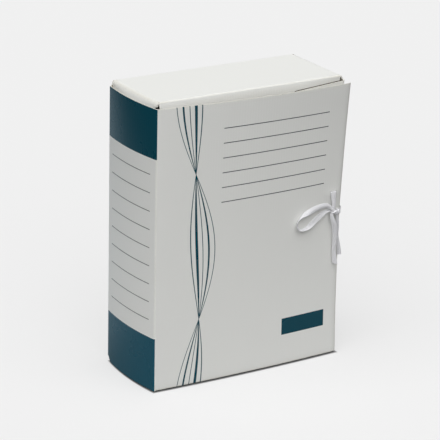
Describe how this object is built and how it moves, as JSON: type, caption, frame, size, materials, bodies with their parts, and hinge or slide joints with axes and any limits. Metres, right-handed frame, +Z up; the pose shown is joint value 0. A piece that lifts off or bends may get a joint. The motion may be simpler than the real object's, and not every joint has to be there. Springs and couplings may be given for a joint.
{
  "type": "archive box",
  "caption": "Upright folded-board archive box for papers, with a bowed spine, a hinged front cover, tucked top and bottom flaps and a tape tied in a half bow at the fore-edge.",
  "frame": {"origin": "on the floor, under the middle of the bottom wall's width and of the box's nominal depth", "axes": "+Z up along the spine, -Y the way the cover faces, +X from the spine to the fore-edge"},
  "size_m": [0.2474, 0.1154, 0.3319],
  "materials": {
    "printed_cover": "white coated liner with a flowing dark teal line ornament, grey writing lines and a dark teal block",
    "printed_spine": "white coated liner with two dark teal bands and grey writing lines",
    "plain_board": "white liner outside, grey-white recycled liner inside",
    "cotton_tape": "woven white cotton tape",
    "paper_patch": "uncoated paper glued over the tape's end"
  },
  "bodies": {
    "tray_back": {"back_panel": "plain_board"},
    "spine": {"spine": "printed_spine"},
    "cover": {"front_cover": "printed_cover", "cover_tape": "cotton_tape", "cover_tape_patch": "paper_patch", "tape_wrap": "cotton_tape", "knot": "cotton_tape", "bow_loop": "cotton_tape", "long_tail": "cotton_tape", "short_tail": "cotton_tape"},
    "fore_edge": {"fore_edge_wall": "plain_board", "tray_tape": "cotton_tape", "tray_tape_patch": "paper_patch"},
    "fore_flange": {"fore_edge_flange": "plain_board"},
    "top": {"top_wall": "plain_board"},
    "top_tuck": {"top_flange": "plain_board"},
    "top_ear_spine": {"top_spine_ear": "plain_board"},
    "top_ear_fore": {"top_fore_ear": "plain_board"},
    "bottom": {"bottom_wall": "plain_board"},
    "bottom_tuck": {"bottom_flange": "plain_board"},
    "bottom_ear_spine": {"bottom_spine_ear": "plain_board"},
    "bottom_ear_fore": {"bottom_fore_ear": "plain_board"}
  },
  "joints": [
    {"name": "spine_fold", "type": "hinge", "parent": "tray_back", "child": "spine", "pos_m": [-0.1202, 0.0501, 0], "axis": [0, 0, -1], "range_deg": [0, 90]},
    {"name": "cover_open", "type": "hinge", "parent": "spine", "child": "cover", "pos_m": [-0.1202, -0.0501, 0], "axis": [0, 0, -1], "range_deg": [0, 165]},
    {"name": "fore_edge_fold", "type": "hinge", "parent": "tray_back", "child": "fore_edge", "pos_m": [0.1202, 0.0501, 0], "axis": [0, 0, 1], "range_deg": [0, 90]},
    {"name": "fore_flange_fold", "type": "hinge", "parent": "fore_edge", "child": "fore_flange", "pos_m": [0.1202, -0.0481, 0], "axis": [0, 0, 1], "range_deg": [0, 60]},
    {"name": "top_fold", "type": "hinge", "parent": "tray_back", "child": "top", "pos_m": [0, 0.0501, 0.3311], "axis": [-1, 0, 0], "range_deg": [0, 80]},
    {"name": "top_tuck_fold", "type": "hinge", "parent": "top", "child": "top_tuck", "pos_m": [0, -0.0453, 0.3303], "axis": [1, 0, 0], "range_deg": [0, 80]},
    {"name": "top_spine_ear_fold", "type": "hinge", "parent": "top", "child": "top_ear_spine", "pos_m": [-0.1175, 0, 0.3303], "axis": [0, -1, 0], "range_deg": [0, 35]},
    {"name": "top_fore_ear_fold", "type": "hinge", "parent": "top", "child": "top_ear_fore", "pos_m": [0.1175, 0, 0.3303], "axis": [0, 1, 0], "range_deg": [0, 35]},
    {"name": "bottom_fold", "type": "hinge", "parent": "tray_back", "child": "bottom", "pos_m": [0, 0.0501, 0.0008], "axis": [1, 0, 0], "range_deg": [0, 80]},
    {"name": "bottom_tuck_fold", "type": "hinge", "parent": "bottom", "child": "bottom_tuck", "pos_m": [0, -0.0453, 0.0016], "axis": [-1, 0, 0], "range_deg": [0, 80]},
    {"name": "bottom_spine_ear_fold", "type": "hinge", "parent": "bottom", "child": "bottom_ear_spine", "pos_m": [-0.1175, 0, 0.0016], "axis": [0, 1, 0], "range_deg": [0, 35]},
    {"name": "bottom_fore_ear_fold", "type": "hinge", "parent": "bottom", "child": "bottom_ear_fore", "pos_m": [0.1175, 0, 0.0016], "axis": [0, -1, 0], "range_deg": [0, 35]}
  ],
  "couplings": [
    {"joint": "fore_edge_fold", "follows": "cover_open", "ratio": 0.54546},
    {"joint": "fore_flange_fold", "follows": "cover_open", "ratio": 0.36364},
    {"joint": "top_tuck_fold", "follows": "top_fold", "ratio": 1},
    {"joint": "bottom_tuck_fold", "follows": "bottom_fold", "ratio": 1}
  ]
}
